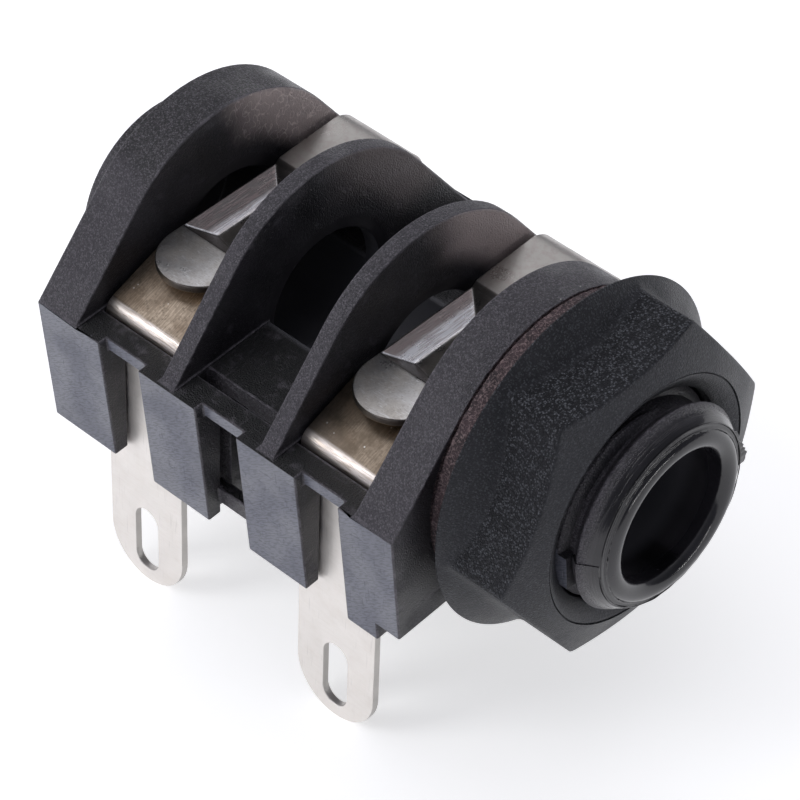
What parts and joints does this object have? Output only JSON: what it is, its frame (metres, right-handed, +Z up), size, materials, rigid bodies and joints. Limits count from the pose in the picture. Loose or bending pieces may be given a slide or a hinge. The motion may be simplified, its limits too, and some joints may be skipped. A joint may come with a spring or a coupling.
{
  "type": "audio jack socket",
  "caption": "Panel socket for a quarter-inch plug: moulded housing with threaded bush, hex nut and washer, and sprung contacts that break from fixed contacts when a plug goes in.",
  "frame": {"origin": "on the plug axis, in the front face of the housing that seats on the panel", "axes": "+X out of the front along the plug axis, +Z up with the springs on top and the solder tags pointing down, +Y towards the side that holds the springs"},
  "size_m": [0.0326, 0.0199, 0.0231],
  "materials": {
    "black_moulding": "satin black with fine spark-eroded grain",
    "black_nut": "matt black with fine grain",
    "fibre": "dark fibre with a mottled cut edge",
    "plated_spring": "nickel plated, fine rolling lines",
    "plated_contact": "tin plated, pale satin"
  },
  "bodies": {
    "socket": {"housing": "black_moulding", "tip_tag": "plated_spring", "sleeve_tag": "plated_spring", "tip_switch_contact": "plated_contact", "sleeve_switch_contact": "plated_contact"},
    "tip_arm": {"tip_spring": "plated_spring"},
    "sleeve_arm": {"sleeve_spring": "plated_spring"},
    "washer": {"fibre_washer": "fibre"},
    "nut": {"hex_nut": "black_nut"}
  },
  "joints": [
    {"name": "tip_lift", "type": "hinge", "parent": "socket", "child": "tip_arm", "pos_m": [-0.01755, 0.00795, 0.00032], "axis": [-1, 0, 0], "range_deg": [0, 11], "stiffness_Nm_per_rad": 0.05, "springref_deg": -4.58},
    {"name": "sleeve_lift", "type": "hinge", "parent": "socket", "child": "sleeve_arm", "pos_m": [-0.00485, 0.00795, 0.00032], "axis": [-1, 0, 0], "range_deg": [0, 11], "stiffness_Nm_per_rad": 0.05, "springref_deg": -4.58},
    {"name": "washer_travel", "type": "slide", "parent": "socket", "child": "washer", "axis": [1, 0, 0], "range_m": [0, 0.003]},
    {"name": "nut_turn", "type": "hinge", "parent": "washer", "child": "nut", "pos_m": [0, 0, 0], "axis": [1, 0, 0], "range_deg": [0, 1081]}
  ],
  "couplings": [
    {"joint": "nut_turn", "follows": "washer_travel", "rad_per_m": 6283.2}
  ]
}
